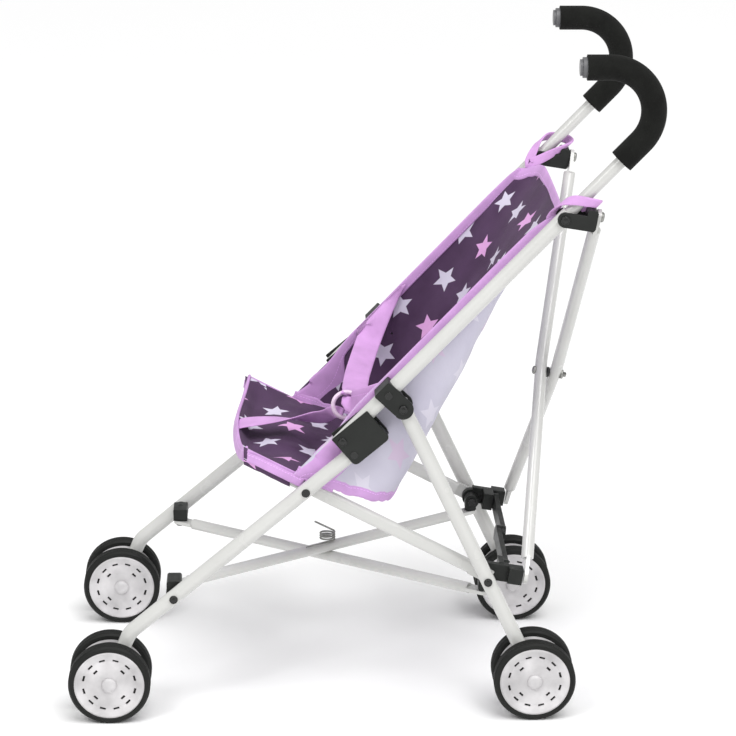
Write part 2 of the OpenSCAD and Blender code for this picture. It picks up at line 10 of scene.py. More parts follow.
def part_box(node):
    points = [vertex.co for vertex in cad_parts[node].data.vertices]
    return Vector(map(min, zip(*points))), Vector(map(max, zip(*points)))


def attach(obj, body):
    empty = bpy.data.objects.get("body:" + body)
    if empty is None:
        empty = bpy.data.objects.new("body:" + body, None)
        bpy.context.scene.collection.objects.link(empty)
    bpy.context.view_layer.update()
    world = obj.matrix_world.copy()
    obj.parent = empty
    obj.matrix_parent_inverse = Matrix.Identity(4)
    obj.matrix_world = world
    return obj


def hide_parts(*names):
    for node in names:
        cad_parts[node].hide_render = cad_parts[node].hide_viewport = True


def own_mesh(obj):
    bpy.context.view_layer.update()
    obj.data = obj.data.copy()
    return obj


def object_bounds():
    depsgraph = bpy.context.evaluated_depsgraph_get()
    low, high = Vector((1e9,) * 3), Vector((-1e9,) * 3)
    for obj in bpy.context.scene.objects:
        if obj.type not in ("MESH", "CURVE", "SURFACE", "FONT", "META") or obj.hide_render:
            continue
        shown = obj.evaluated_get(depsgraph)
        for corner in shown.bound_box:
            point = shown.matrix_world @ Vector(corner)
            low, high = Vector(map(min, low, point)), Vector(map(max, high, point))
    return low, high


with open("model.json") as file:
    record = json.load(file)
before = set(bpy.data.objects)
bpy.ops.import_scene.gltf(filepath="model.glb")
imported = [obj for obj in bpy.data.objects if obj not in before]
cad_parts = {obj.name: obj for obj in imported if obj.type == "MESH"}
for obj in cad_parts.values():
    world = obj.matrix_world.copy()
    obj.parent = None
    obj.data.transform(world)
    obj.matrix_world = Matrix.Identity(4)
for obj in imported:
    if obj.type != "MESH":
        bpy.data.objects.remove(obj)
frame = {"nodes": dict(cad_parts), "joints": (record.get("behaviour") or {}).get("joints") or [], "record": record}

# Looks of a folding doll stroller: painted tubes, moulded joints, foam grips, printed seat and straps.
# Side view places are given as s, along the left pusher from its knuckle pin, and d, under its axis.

CAD_BOX = [list(c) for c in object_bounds()]
NODES = frame["nodes"]
JOINT = {j["name"]: j for j in frame["joints"]}


# ---- places, in metres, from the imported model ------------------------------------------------

def pivot(name):
    return np.array(JOINT[name]["pos_m"], float)


SIDE_X = pivot("front_leg_left")[0]
KNUCKLE = pivot("front_leg_left")[1:]
TOP_PIN = pivot("top_link_left")[1:]
HEEL_PIN = pivot("seat_bar_left")[1:]
TOE_PIN = pivot("toe_block_left")[1:]
REAR_TOP = pivot("rear_leg_left")[1:]
ALONG = (TOP_PIN - KNUCKLE) / np.linalg.norm(TOP_PIN - KNUCKLE)
UNDER = np.array([ALONG[1], -ALONG[0]])
WALL_X = SIDE_X - 0.0107          # the side walls of the seat hang this far from the middle plane


def on_pusher(s, d=0.0):
    """A side view point s along the pusher from the knuckle pin and d under its axis."""
    return KNUCKLE + s * ALONG + d * UNDER


def seat_at(x, s, d):
    """A point at x across the seat, s along the pusher and d under its axis."""
    return np.array([x, *on_pusher(s, d)])


def smooth(a, b, t):
    t = min(max((t - a) / (b - a), 0.0), 1.0)
    return t * t * (3 - 2 * t)


def ripple(p, scale, amount, shift=0.0):
    """Smooth repeatable unevenness of cloth."""
    return amount * noise.noise(Vector((p[0] * scale + shift, p[1] * scale, p[2] * scale)))


# ---- materials --------------------------------------------------------------------------------

def rgb(r, g, b):
    """A display colour from 0 to 255 as linear light."""
    def lin(c):
        c /= 255
        return c / 12.92 if c <= 0.04045 else ((c + 0.055) / 1.055) ** 2.4
    return (lin(r), lin(g), lin(b), 1.0)


class Graph:
    """A material's node tree, with the surface shader's constants set on its own sockets."""

    def __init__(self, name, **surface):
        self.mat = bpy.data.materials.new(name)
        self.mat.use_nodes = True
        self.tree = self.mat.node_tree
        self.tree.nodes.clear()
        self.bsdf = self.add("BsdfPrincipled")
        for key, value in surface.items():
            self.bsdf.inputs[key.replace("_", " ")].default_value = value
        out = self.add("OutputMaterial")
        self.tree.links.new(self.bsdf.outputs["BSDF"], out.inputs["Surface"])

    def add(self, kind, settings=None, inputs=None):
        made = self.tree.nodes.new("ShaderNode" + kind)
        for key, value in (settings or {}).items():
            setattr(made, key, value)
        for key, value in (inputs or {}).items():
            self.plug(made.inputs[key], value)
        return made

    def plug(self, socket, value):
        if isinstance(value, bpy.types.NodeSocket):
            self.tree.links.new(value, socket)
        else:
            socket.default_value = value

    def surface(self, key, value):
        self.plug(self.bsdf.inputs[key], value)

    def math(self, op, a, b=None, c=None):
        made = self.add("Math", {"operation": op})
        for i, value in enumerate((a, b, c)):
            if value is not None:
                self.plug(made.inputs[i], value)
        return made.outputs[0]

    def place(self):
        return self.add("TexCoord").outputs["Object"]

    def cloth_place(self):
        return self.add("Attribute", {"attribute_name": "cloth"}).outputs["Vector"]

    def noise(self, vector, scale, detail=2.0, rough=0.5):
        made = self.add("TexNoise", {}, {"Scale": scale, "Detail": detail, "Roughness": rough})
        self.plug(made.inputs["Vector"], vector)
        return made.outputs["Fac"]

    def spread(self, value, low, high, a=0.3, b=0.7):
        made = self.add("MapRange", {}, {"From Min": a, "From Max": b, "To Min": low, "To Max": high})
        self.plug(made.inputs["Value"], value)
        return made.outputs["Result"]

    def mix(self, factor, a, b):
        made = self.add("Mix", {"data_type": "RGBA"})
        self.plug(made.inputs[0], factor)
        self.plug(made.inputs[6], a)
        self.plug(made.inputs[7], b)
        return made.outputs[2]

    def bump(self, height, strength, distance, base=None):
        made = self.add("Bump", {}, {"Strength": strength, "Distance": distance})
        self.plug(made.inputs["Height"], height)
        if base is not None:
            self.plug(made.inputs["Normal"], base)
        return made.outputs["Normal"]

    def soft_edges(self, radius):
        return self.add("Bevel", {"samples": 4}, {"Radius": radius}).outputs["Normal"]


def painted_steel():
    g = Graph("painted_steel", Coat_Weight=0.6, Coat_Roughness=0.06)
    cloud = g.noise(g.place(), 18.0, 3.0)
    g.surface("Base Color", g.mix(g.spread(cloud, 0, 1), rgb(199, 199, 196), rgb(206, 206, 203)))
    g.surface("Roughness", g.spread(g.noise(g.place(), 60.0), 0.18, 0.28))
    g.surface("Normal", g.bump(g.noise(g.place(), 420.0), 0.12, 0.0004))
    return g.mat


def moulded(name, tone, rough, grain=1400.0, edge=0.0007, gloss=0.5):
    g = Graph(name, Specular_IOR_Level=gloss)
    cloud = g.noise(g.place(), 45.0, 4.0)
    dark, light = rgb(*(c * 0.9 for c in tone)), rgb(*(min(255, c * 1.12) for c in tone))
    g.surface("Base Color", g.mix(g.spread(cloud, 0, 1), dark, light))
    g.surface("Roughness", g.spread(g.noise(g.place(), 120.0, 3.0), rough - 0.06, rough + 0.08))
    skin = g.noise(g.place(), grain, 2.0, 0.6)
    g.surface("Normal", g.bump(skin, 0.25, 0.0003, g.soft_edges(edge)))
    return g.mat


def foam_rubber():
    g = Graph("foam_rubber", Specular_IOR_Level=0.15, Sheen_Weight=0.04, Sheen_Roughness=0.5, Roughness=0.95)
    place = g.place()
    cells = g.add("TexVoronoi", {"feature": "F1"}, {"Scale": 1500.0, "Vector": place}).outputs["Distance"]
    cloud = g.noise(place, 60.0, 5.0, 0.7)
    g.surface("Base Color", g.mix(g.spread(cloud, 0, 1), rgb(19, 19, 18), rgb(29, 30, 28)))
    height = g.math("ADD", g.math("MULTIPLY", cells, 0.6), g.noise(place, 260.0, 4.0, 0.7))
    g.surface("Normal", g.bump(height, 0.5, 0.0006))
    return g.mat


def tyre_rubber():
    g = Graph("tyre_rubber", Specular_IOR_Level=0.25)
    place = g.place()
    dust = g.noise(place, 70.0, 5.0, 0.65)
    g.surface("Base Color", g.mix(g.spread(dust, 0, 1), rgb(20, 21, 20), rgb(31, 32, 30)))
    g.surface("Roughness", g.spread(dust, 0.5, 0.72))
    g.surface("Normal", g.bump(g.noise(place, 900.0, 3.0, 0.6), 0.3, 0.0004, g.soft_edges(0.0004)))
    return g.mat


def bare_steel(name="zinc_steel", tone=(176, 176, 172), rough=0.3):
    g = Graph(name, Metallic=1.0)
    place = g.place()
    patch = g.noise(place, 240.0, 4.0, 0.6)
    g.surface("Base Color", g.mix(g.spread(patch, 0, 1), rgb(*(c * 0.82 for c in tone)), rgb(*tone)))
    g.surface("Roughness", g.spread(patch, rough, rough + 0.18))
    g.surface("Normal", g.bump(g.noise(place, 1600.0, 2.0), 0.15, 0.0002, g.soft_edges(0.0003)))
    return g.mat


def star_mask(g, place, radius):
    """1 inside a five pointed star at each point of a slanted lattice, and 1 where that star is pink."""
    split = g.add("SeparateXYZ", {}, {"Vector": place})
    (ax, ay), (bx, by) = STAR_STEPS
    area = ax * by - ay * bx
    px = g.math("SUBTRACT", split.outputs["X"], STAR_ORIGIN[0])
    py = g.math("SUBTRACT", split.outputs["Y"], STAR_ORIGIN[1])

    def blend(u, ku, v, kv):
        return g.math("ADD", g.math("MULTIPLY", u, ku), g.math("MULTIPLY", v, kv))

    u, v = blend(px, by / area, py, -bx / area), blend(px, -ay / area, py, ax / area)
    column, row = g.math("ROUND", u), g.math("ROUND", v)
    du, dv = g.math("SUBTRACT", u, column), g.math("SUBTRACT", v, row)
    x, y = blend(du, ax, dv, bx), blend(du, ay, dv, by)
    seed = g.add("CombineXYZ", {}, {"X": g.math("ADD", column, 0.37), "Y": g.math("ADD", row, 0.61)})
    chance = g.add("TexWhiteNoise", {"noise_dimensions": "2D"}, {"Vector": seed.outputs[0]})
    turn = g.math("MULTIPLY", chance.outputs["Value"], 1.25)
    reach = g.math("SQRT", g.math("ADD", g.math("MULTIPLY", x, x), g.math("MULTIPLY", y, y)))
    angle = g.math("ADD", g.math("ARCTAN2", y, x), turn)
    fifth = 2 * math.pi / 5
    folded = g.math("ABSOLUTE", g.math("SUBTRACT", g.math("WRAP", angle, fifth, 0.0), fifth / 2))
    theta = g.math("SUBTRACT", fifth / 2, folded)
    inner = 0.47 * radius
    nx, ny = inner * math.sin(fifth / 2), radius - inner * math.cos(fifth / 2)
    size = math.hypot(nx, ny)
    across = blend(g.math("COSINE", theta), nx / size, g.math("SINE", theta), ny / size)
    depth = g.math("SUBTRACT", radius * nx / size, g.math("MULTIPLY", reach, across))
    mask = g.add("MapRange", {}, {"Value": depth, "From Min": -0.0001, "From Max": 0.0003}).outputs["Result"]
    third = g.math("FLOORED_MODULO", g.math("SUBTRACT", column, row), 3.0)
    return mask, g.math("COMPARE", third, 1.0, 0.1)


STAR_STEPS = ((0.0441, 0.0142), (0.0400, -0.0208))      # from one star to its neighbours, on the flat cloth
STAR_ORIGIN = (-0.0497, 0.0322)
STAR_R = 0.0124
THREAD = 0.0007


def weave(g, place, pitch):
    """Height of a plain weave with the given thread pitch."""
    split = g.add("SeparateXYZ", {}, {"Vector": place})
    turn = 2 * math.pi / pitch
    warp = g.math("SINE", g.math("MULTIPLY", split.outputs["X"], turn))
    weft = g.math("SINE", g.math("MULTIPLY", split.outputs["Y"], turn))
    return g.math("MULTIPLY", warp, weft)


def printed_cloth():
    g = Graph("printed_cloth", Specular_IOR_Level=0.3, Sheen_Weight=0.04, Sheen_Roughness=0.5)
    place = g.cloth_place()
    mask, kind = star_mask(g, place, STAR_R)
    cloud = g.noise(place, 30.0, 4.0)
    plum = g.mix(g.spread(cloud, 0, 1), rgb(70, 47, 76), rgb(86, 62, 93))
    star = g.mix(kind, rgb(214, 208, 226), rgb(226, 170, 224))
    g.surface("Base Color", g.mix(mask, plum, star))
    g.surface("Roughness", g.spread(cloud, 0.62, 0.78))
    threads = g.bump(weave(g, place, THREAD), 0.25, 0.0001)
    g.surface("Normal", g.bump(g.noise(place, 55.0, 3.0), 0.35, 0.0015, threads))
    return g.mat


def cloth_back():
    g = Graph("cloth_back", Specular_IOR_Level=0.3, Sheen_Weight=0.05, Sheen_Roughness=0.5)
    place = g.cloth_place()
    mask, kind = star_mask(g, place, STAR_R)
    cloud = g.noise(place, 24.0, 4.0)
    grey = g.mix(g.spread(cloud, 0, 1), rgb(196, 192, 210), rgb(206, 203, 218))
    star = g.mix(kind, rgb(216, 212, 226), rgb(208, 190, 214))
    g.surface("Base Color", g.mix(mask, grey, star))
    g.surface("Roughness", g.spread(cloud, 0.7, 0.85))
    threads = g.bump(weave(g, place, THREAD), 0.3, 0.0001)
    g.surface("Normal", g.bump(g.noise(place, 50.0, 3.0), 0.35, 0.0015, threads))
    return g.mat


STITCH = 0.0026


def trim_tape(name, tone, pitch, stitch_at):
    """Woven tape; stitch_at is the stitch line's distance from the middle, or None."""
    g = Graph(name, Specular_IOR_Level=0.3, Sheen_Weight=0.1, Sheen_Roughness=0.4, Roughness=0.72)
    place = g.cloth_place()
    cloud = g.noise(place, 60.0, 4.0)
    dark, light = rgb(*(c * 0.95 for c in tone)), rgb(*(min(255, c * 1.03) for c in tone))
    base = g.mix(g.spread(cloud, 0, 1), dark, light)
    height = weave(g, place, pitch)
    if stitch_at is not None:
        split = g.add("SeparateXYZ", {}, {"Vector": place})
        gap = g.math("ABSOLUTE", g.math("SUBTRACT", split.outputs["Y"], stitch_at))
        line = g.math("LESS_THAN", gap, 0.00028)
        wave = g.math("SINE", g.math("MULTIPLY", split.outputs["X"], 2 * math.pi / STITCH))
        dash = g.math("GREATER_THAN", wave, -0.4)
        stitch = g.math("MULTIPLY", line, dash)
        base = g.mix(stitch, base, rgb(*(min(255, c * 1.12) for c in tone)))
        dip = g.math("LESS_THAN", gap, 0.0006)
        height = g.math("SUBTRACT", g.math("MULTIPLY", height, 0.3), g.math("MULTIPLY", dip, 1.5))
        height = g.math("ADD", height, g.math("MULTIPLY", stitch, 1.6))
    g.surface("Base Color", base)
    fine = g.bump(height, 0.35, 0.00015)
    g.surface("Normal", g.bump(g.noise(place, 90.0, 3.0), 0.3, 0.0008, fine))
    return g.mat


def floor_paint():
    g = Graph("floor_paint", Roughness=0.9)
    cloud = g.noise(g.place(), 0.6, 2.0)
    g.surface("Base Color", g.mix(g.spread(cloud, 0, 1), rgb(250, 250, 250), rgb(252, 252, 252)))
    return g.mat


PAINT = painted_steel()
BLACK = moulded("black_nylon", (31, 33, 31), 0.4, gloss=0.28)
PLUG = moulded("grey_plug", (92, 92, 94), 0.4)
HUB = moulded("hub_plastic", (196, 194, 195), 0.36, grain=700.0, edge=0.0005)
RING = moulded("ring_plastic", (236, 208, 232), 0.32, grain=900.0)
RIVET = moulded("rivet_black", (24, 25, 24), 0.24, gloss=0.45)
FOAM = foam_rubber()
TYRE = tyre_rubber()
STEEL = bare_steel()
PRINT = printed_cloth()
BACK = cloth_back()
TAPE = trim_tape("lilac_tape", (206, 160, 216), 0.0009, 0.0022)
WEB = trim_tape("lilac_webbing", (214, 164, 222), 0.0011, None)
FOLDED = trim_tape("stitched_webbing", (214, 164, 222), 0.0011, 0.0052)

NODE_MATERIAL = {
    "lower_tube": PAINT, "handle_tube": PAINT, "front_leg": PAINT, "rear_leg": PAINT, "seat_bar": PAINT,
    "back_bar": PAINT, "floor_bar": PAINT, "grip": FOAM, "end_plug": PLUG, "upper_bracket": BLACK,
    "knuckle": BLACK, "top_link": BLACK, "foot_link": BLACK, "lock_arm": BLACK, "heel_block": BLACK,
    "toe_block": BLACK, "upper_pins": RIVET, "front_pins": RIVET, "rear_pins": RIVET, "spring": STEEL,
    "tyre": TYRE, "hub": HUB, "ring": RING, "seat_back": PRINT, "seat_base": PRINT, "lap_strap": WEB,
    "crotch_strap": WEB,
}
for node_name, node in NODES.items():
    kind = max((k for k in NODE_MATERIAL if node_name.startswith(k)), key=len)
    node.data.materials.clear()
    node.data.materials.append(NODE_MATERIAL[kind])


# ---- mesh tools ------------------------------------------------------------------------------------

def piece(name, verts, faces, mats, face_mats, coords, body):
    """A visible mesh piece; coords are places on flat cloth, for the cloth materials."""
    mesh = bpy.data.meshes.new(name)
    mesh.from_pydata([tuple(map(float, v)) for v in verts], [], faces)
    for m in mats:
        mesh.materials.append(m)
    if face_mats is not None:
        mesh.polygons.foreach_set("material_index", face_mats)
    if coords is not None:
        layer = mesh.attributes.new("cloth", "FLOAT_VECTOR", "POINT")
        layer.data.foreach_set("vector", np.asarray(coords, np.float32).ravel())
    mesh.polygons.foreach_set("use_smooth", [True] * len(mesh.polygons))
    mesh.validate()
    made = bpy.data.objects.new(name, mesh)
    bpy.context.scene.collection.objects.link(made)
    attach(made, body)
    return made


CLOTH_T = 0.0009


def cloth_sheet(name, grid, mats, body, coords):
    """A double sided sheet: mats[0] shows on the grid's own side and mats[1] on the other side; coords are
    the places of its points on the flat cloth."""
    p = np.asarray(grid, float)
    rows, cols = p.shape[:2]
    du, dv = np.gradient(p, axis=0), np.gradient(p, axis=1)
    n = np.cross(du, dv)
    n /= np.maximum(np.linalg.norm(n, axis=2, keepdims=True), 1e-12)
    verts = np.concatenate([p.reshape(-1, 3), (p + n * CLOTH_T).reshape(-1, 3)])
    all_coords = np.concatenate([coords.reshape(-1, 3)] * 2)
    count = rows * cols
    faces, which = [], []
    for i in range(rows - 1):
        for j in range(cols - 1):
            a, b, c, d = i * cols + j, i * cols + j + 1, (i + 1) * cols + j + 1, (i + 1) * cols + j
            faces += [(a, b, c, d), (count + d, count + c, count + b, count + a)]
            which += [0, 1]
    rim = list(range(cols)) + [i * cols + cols - 1 for i in range(1, rows)]
    rim += [(rows - 1) * cols + j for j in range(cols - 2, -1, -1)]
    rim += [i * cols for i in range(rows - 2, 0, -1)]
    for a, b in zip(rim, rim[1:] + rim[:1]):
        faces.append((b, a, count + a, count + b))
        which.append(1)
    return piece(name, verts, faces, mats, which, all_coords, body)


def rings(around, count, closed=False):
    """Faces of a tube whose points stand in count rings of around points each, with both ends capped, or
    with the last ring joined to the first."""
    faces = []
    for i in range(count if closed else count - 1):
        at, to = i * around, (i + 1) % count * around
        for k in range(around):
            m = (k + 1) % around
            faces.append((at + k, at + m, to + m, to + k))
    if not closed:
        faces += [tuple(reversed(range(around))), tuple(range((count - 1) * around, count * around))]
    return faces


def unit(v):
    v = np.asarray(v, float)
    return v / np.maximum(np.linalg.norm(v, axis=-1, keepdims=True), 1e-12)


def spline(points, count):
    """A smooth path of count points through the given points, evenly spaced by length."""
    p = np.asarray(points, float)
    p = np.vstack([2 * p[0] - p[1], p, 2 * p[-1] - p[-2]])
    fine = []
    for i in range(1, len(p) - 2):
        for t in np.linspace(0, 1, 24, endpoint=False):
            a, b, c, d = p[i - 1], p[i], p[i + 1], p[i + 2]
            fine.append(0.5 * (2 * b + (c - a) * t + (2 * a - 5 * b + 4 * c - d) * t ** 2
                               + (3 * b - a - 3 * c + d) * t ** 3))
    fine.append(p[-2])
    fine = np.array(fine)
    run = np.concatenate([[0], np.cumsum(np.linalg.norm(np.diff(fine, axis=0), axis=1))])
    want = np.linspace(0, run[-1], count)
    return np.stack([np.interp(want, run, fine[:, k]) for k in range(fine.shape[1])], axis=1)


def band(name, path, across, width, thick, mats, body, round_=0.55, closed=False, cut=None):
    """A flat tape along a path; across is the width's direction at each point. cut is a plane, as a point
    and a normal, at which the tape's start is cut off."""
    path = np.asarray(path, float)
    n = len(path)
    across = unit(np.broadcast_to(across, (n, 3)))
    width = np.broadcast_to(width, (n,))
    tangent = unit(np.gradient(path, axis=0))
    if closed:
        tangent = unit(np.roll(path, -1, axis=0) - np.roll(path, 1, axis=0))
    across = unit(across - tangent * np.sum(across * tangent, axis=1, keepdims=True))
    up = np.cross(tangent, across)
    sides = 14
    run = np.concatenate([[0], np.cumsum(np.linalg.norm(np.diff(path, axis=0), axis=1))])
    verts, coords = [], []
    for i in range(n):
        for k in range(sides):
            a = 2 * math.pi * (k + 0.5) / sides
            c, s = math.cos(a), math.sin(a)
            w = math.copysign(abs(c) ** round_, c) * width[i] / 2
            h = math.copysign(abs(s) ** round_, s) * thick / 2
            p = path[i] + across[i] * w + up[i] * h
            if cut:
                p += tangent[i] * max(0.0, (cut[0] - p) @ cut[1]) / max(tangent[i] @ cut[1], 0.2)
            verts.append(p)
            coords.append((run[i], w, 0))
    return piece(name, verts, rings(sides, n, closed), mats, None, coords, body)


def gathers(made):
    """Gives a seat piece its own copy of its mesh."""
    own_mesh(made)
    return made


# ---- seat back and side walls: one sheet slung between the two pushers ------------------------------

TOP_EDGE = 0.2482                  # s of the top edge, and of the hem at the walls' edges
HEM_AT_WALL = -0.0505
HEM_LIFT = 0.0375                  # how much further up the hem is in the middle
# Depth d of the sling's middle at some s
DEPTHS = [(-0.06, 0.0885), (-0.0093, 0.074), (0.195, 0.0118), (0.218, 0.0100), (0.236, 0.0065),
          (0.25, 0.0025)]


def rise(s):
    """How far the sling's edge stands under the pusher's axis; it is negative, so above it."""
    return -0.0055 - 0.0030 * smooth(-0.005, 0.030, s) + 0.0042 * smooth(0.215, 0.250, s)


def sling_depth(s):
    return float(np.interp(s, [d[0] for d in DEPTHS], [d[1] for d in DEPTHS]))


def sling_place(phi, v):
    """Along, depth and x; phi is 0 at the right wall's edge and 1 at the left's, v runs from hem to top."""
    angle = math.pi * phi
    drop = math.sin(angle)
    low = HEM_AT_WALL + HEM_LIFT * drop ** 0.4
    high = TOP_EDGE - 0.0190 * smooth(0.32, 0.0, phi) ** 1.7 + 0.001 * smooth(0.65, 1.0, phi)
    s = low + (high - low) * v
    # the cross section is a superellipse: boxy at the seat, rounder at the top
    power = 2 / (2.4 + 2.6 * smooth(0.24, 0.02, s))
    depth = rise(s) + (sling_depth(s) - rise(s)) * abs(drop) ** power
    side = -math.cos(angle)
    x = WALL_X * math.copysign(abs(side) ** power, side)
    # the walls' front corners lean out over the seat bars
    out = 0.0026 * smooth(0.02, -0.03, s) * smooth(0.03, 0.0, depth)
    x += math.copysign(out * smooth(0.6, 0.95, abs(side)), side)
    return s, depth, x


def sling_grid():
    """Points of the sling and where each lies on the flat printed cloth."""
    phis = np.concatenate([np.linspace(0, 0.16, 26)[:-1], np.linspace(0.16, 0.84, 70)[:-1],
                           np.linspace(0.84, 1, 26)])
    points, places = [], []
    for v in np.linspace(0, 1, 84):
        row, along = [], []
        for phi in phis:
            s, depth, x = sling_place(phi, v)
            p = seat_at(x, s, depth)
            inner = smooth(0.0, 0.08, phi) * smooth(1.0, 0.92, phi) * smooth(0, 0.06, v) * smooth(1, 0.95, v)
            w = ripple(p, 26.0, 0.0022) + ripple(p, 60.0, 0.0007, 5.0)
            row.append(p + w * inner * np.array([0.5 * math.copysign(1, -p[0]), UNDER[0], UNDER[1]]))
            along.append(s)
        row = np.array(row)
        run = np.concatenate([[0], np.cumsum(np.linalg.norm(np.diff(row, axis=0), axis=1))])
        points.append(row)
        places.append(np.stack([along, run + rise(along[0]), np.zeros(len(run))], axis=1))
    return np.array(points), np.array(places)


sling, sling_print = sling_grid()
seat_sling = cloth_sheet("seat_sling", sling, (PRINT, BACK), "left_pusher", sling_print)
gathers(seat_sling)
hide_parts("seat_back")


def edge_tape(name, path, inward, width):
    """Tape over an edge of the sling: a flattened loop that stands over both faces of the edge."""
    gathers(band(name, path, inward, width, TAPE_T, (TAPE,), "left_pusher", 0.6))


def inset(edge, beside, width):
    """The middle line and inward direction of a tape of that width over a sheet's edge."""
    inward = unit(beside - edge)
    return edge + inward * (np.reshape(width, (-1, 1)) / 2 - TAPE_OVER), inward


TAPE_W = 0.0078
TAPE_T = 0.0022
THIN_TAPE = 0.0018
TAPE_OVER = 0.0006                 # how far a tape stands out past the edge that it binds
HEM_W = 0.0100
CORNER_W = 0.0200                  # how much wider the side tapes are where they turn the seat's corner
edge_s = sling_print[:, 0, 0]
wide = np.array([TAPE_W + CORNER_W * smooth(0.012, -0.020, s) * smooth(-0.047, -0.030, s) for s in edge_s])
steady = np.array([smooth(0.10, 0.04, s) for s in edge_s])[:, None]
for side, edge, beside in (("right", sling[:, 0], sling[:, 3]), ("left", sling[:, -1], sling[:, -4])):
    inward = unit(unit(beside - edge) * (1 - steady) + np.array([0, *UNDER]) * steady)
    line = edge + inward * (wide[:, None] / 2 - TAPE_OVER)
    edge_tape(f"side_tape_{side}", line, inward, wide)
top_w = np.array([TAPE_W + 0.0030 * smooth(-0.02, -0.09, p[0]) for p in sling[-1]])
line, inward = inset(sling[-1], sling[-4], top_w)
pucker = np.array([0.0006 * math.sin(2 * math.pi * p[0] / 0.009) * smooth(0.7, 1.0, abs(p[0]) / WALL_X)
                   for p in sling[-1]])[:, None]
edge_tape("top_tape", line + inward * pucker, inward, top_w)
hem_wave = np.array([abs(ripple(p, 90.0, 0.0034)) + abs(ripple(p, 240.0, 0.0012)) for p in sling[0]])[:, None]
line, inward = inset(sling[0], sling[3], HEM_W)
edge_tape("hem_tape", line - inward * hem_wave, inward, HEM_W)

# Tape loop from each top corner of the sling round its pusher and over the rear bar's top end, given as
# the distance outwards from the pusher's axis, s and d
LOOP = [(-0.0120, 0.238, -0.0045), (-0.0085, 0.246, -0.0074), (-0.0010, 0.256, -0.0090),
        (0.0064, 0.264, -0.0056), (0.0084, 0.270, 0.0020), (0.0070, 0.274, 0.0085),
        (0.0010, 0.274, 0.0112), (-0.0060, 0.269, 0.0088), (-0.0092, 0.259, 0.0045),
        (-0.0118, 0.248, 0.0000), (-0.0120, 0.238, -0.0045)]
for side, sign in (("right", -1), ("left", 1)):
    path = spline([seat_at(sign * (SIDE_X + o), s, d) for o, s, d in LOOP], 61)[:-1]
    radial = path - [seat_at(sign * SIDE_X, float((p[1:] - KNUCKLE) @ ALONG), 0.0) for p in path]
    ahead = np.roll(path, -1, axis=0) - np.roll(path, 1, axis=0)
    band(f"corner_loop_{side}", path, np.cross(ahead, radial), TAPE_W, THIN_TAPE, (WEB,), f"{side}_pusher",
         closed=True)


# ---- seat base: a sagging sheet between the seat bars ------------------------------------------------

FRONT_BOLT = KNUCKLE - np.array([0.0289, 0.0433])
BAR_SLOPE = (FRONT_BOLT[1] - HEEL_PIN[1]) / (FRONT_BOLT[0] - HEEL_PIN[0])
BAR_X = sum(c[0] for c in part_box("seat_bar_left")) / 2
BAR_HALF = (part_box("seat_bar_left")[1][0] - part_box("seat_bar_left")[0][0]) / 2
BAR_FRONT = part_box("seat_bar_left")[0][1]
LIP_Y = BAR_FRONT - 0.0085


def bar_axis(y):
    """Height of the seat bar's middle line at y."""
    return HEEL_PIN[1] + (y - HEEL_PIN[0]) * BAR_SLOPE


def base_edge(y, side):
    """Height of the seat base along its side; side is -1 at the right bar and 1 at the left bar."""
    turned_up = 0.0015 * smooth(-0.2, -0.9, side)
    on_bar = bar_axis(y) + 0.0066 + turned_up
    over_hem = 0.1925 - 0.29 * (y + 0.022)
    return on_bar + (over_hem - on_bar) * smooth(-0.056, -0.030, y)


def base_middle(y):
    """Height of the sagging middle: a lip at the front, a drop behind it, then a slow fall."""
    front = 0.2105 - 0.0085 * smooth(LIP_Y + 0.001, LIP_Y + 0.012, y)
    return front - 0.012 * smooth(-0.062, -0.018, y) - 0.013 * smooth(-0.025, 0.026, y)


def base_grid():
    rows, places = [], []
    for v in np.linspace(0, 1, 66):
        row = []
        for u in np.linspace(-1, 1, 70):
            bow = 1 - u * u
            front = LIP_Y + 0.0080 - 0.0085 * bow + 0.0015 * smooth(0.0, -1.0, u)
            y = front + (0.010 - front) * v
            z = base_middle(y - front + LIP_Y)
            z += (base_edge(max(y, BAR_FRONT), u) - z) * abs(u) ** 5
            p = np.array([u * (WALL_X - 0.0004 - 0.0030 * v * v), y, z])
            loose = (1 - u ** 6) * smooth(0.0, 0.08, v)
            p[2] += (ripple(p, 30.0, 0.0042) + ripple(p, 75.0, 0.0013)) * loose
            row.append(p)
        rows.append(row)
        places.append([(p[0] + 0.0457, p[1] + 0.0434, 0) for p in row])
    return np.array(rows), np.array(places)


base, base_print = base_grid()
seat_pad = cloth_sheet("seat_pad", base[:, ::-1], (BACK, PRINT), "left_seat_bar", base_print[:, ::-1])
gathers(seat_pad)
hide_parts("seat_base")
lip = base[0] + np.array([0, -0.0004, -0.0022])
gathers(band("front_tape", lip, (0, 0.30, 0.95), 0.0105, 0.0030, (TAPE,), "left_seat_bar", 0.7))


SLEEVE_W = 2 * (BAR_HALF + 0.0009)
SLEEVE_H = 0.0148


